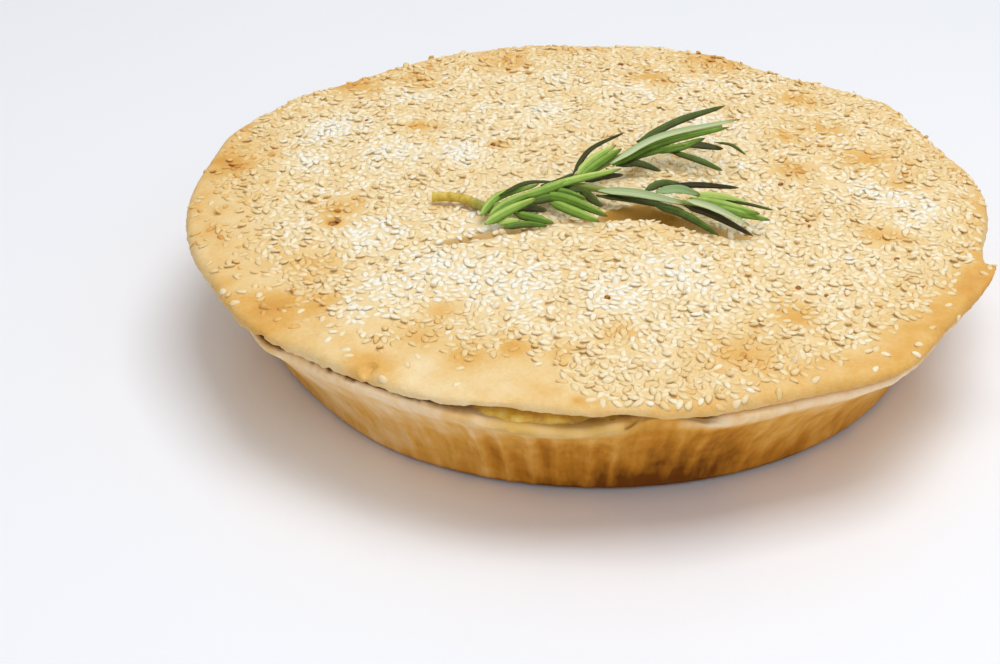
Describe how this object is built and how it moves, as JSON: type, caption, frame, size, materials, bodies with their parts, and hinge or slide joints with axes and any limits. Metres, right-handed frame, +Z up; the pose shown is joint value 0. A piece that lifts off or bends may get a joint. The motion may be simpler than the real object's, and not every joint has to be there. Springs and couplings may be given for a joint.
{
  "type": "artichoke pie",
  "caption": "Round shallow savoury pie: a fluted shortcrust case, artichoke filling that shows at the front, a wavy lid covered in sesame seeds, and a rosemary sprig on top.",
  "frame": {"origin": "middle of the flat foot, on the surface the pie stands on", "axes": "+Z up, out of the sesame lid; -Y towards the open front where the filling shows"},
  "size_m": [0.2003, 0.2012, 0.05],
  "materials": {
    "baked_shortcrust": "baked shortcrust pastry, dull, golden brown darkening towards the foot",
    "artichoke_filling": "moist baked egg, cheese and artichoke filling, yellow with browned edges",
    "sesame_shortcrust": "pale golden baked pastry covered in hulled sesame seeds",
    "rosemary_leaf": "fresh rosemary needles, green above and paler below, on a pale woody stem"
  },
  "bodies": {
    "root": {"base_crust": "baked_shortcrust", "filling": "artichoke_filling", "lid_crust": "sesame_shortcrust", "rosemary_sprig": "rosemary_leaf"}
  },
  "joints": []
}
